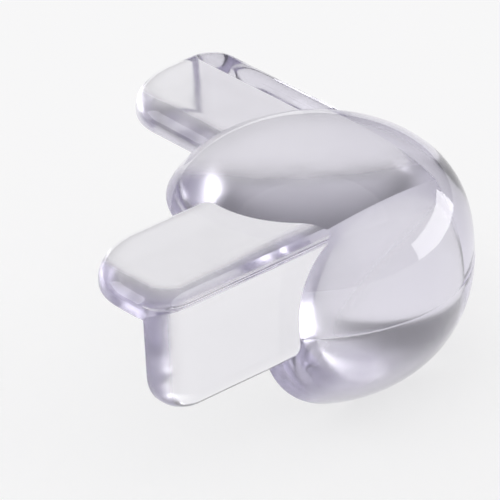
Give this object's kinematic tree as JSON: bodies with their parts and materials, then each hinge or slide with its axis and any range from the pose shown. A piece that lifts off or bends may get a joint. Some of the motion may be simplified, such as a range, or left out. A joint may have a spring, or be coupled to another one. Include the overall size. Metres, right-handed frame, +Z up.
{
  "type": "furniture corner protector",
  "caption": "Clear soft-plastic guard for a table corner: a squat ball covers the corner, and flanged arms run back along the adjoining edges.",
  "frame": {"origin": "on the face that lies on the table board's top, where the ball's upright axis meets it, 8 mm in from each edge of the board", "axes": "+Z up from the board's top; the board's corner points towards +X and +Y, and the arms run towards -X and -Y"},
  "size_m": [0.0438, 0.0438, 0.0247],
  "materials": {
    "clear_plastic": "clear, glossy"
  },
  "bodies": {
    "root": {"corner_protector": "clear_plastic"}
  },
  "joints": []
}
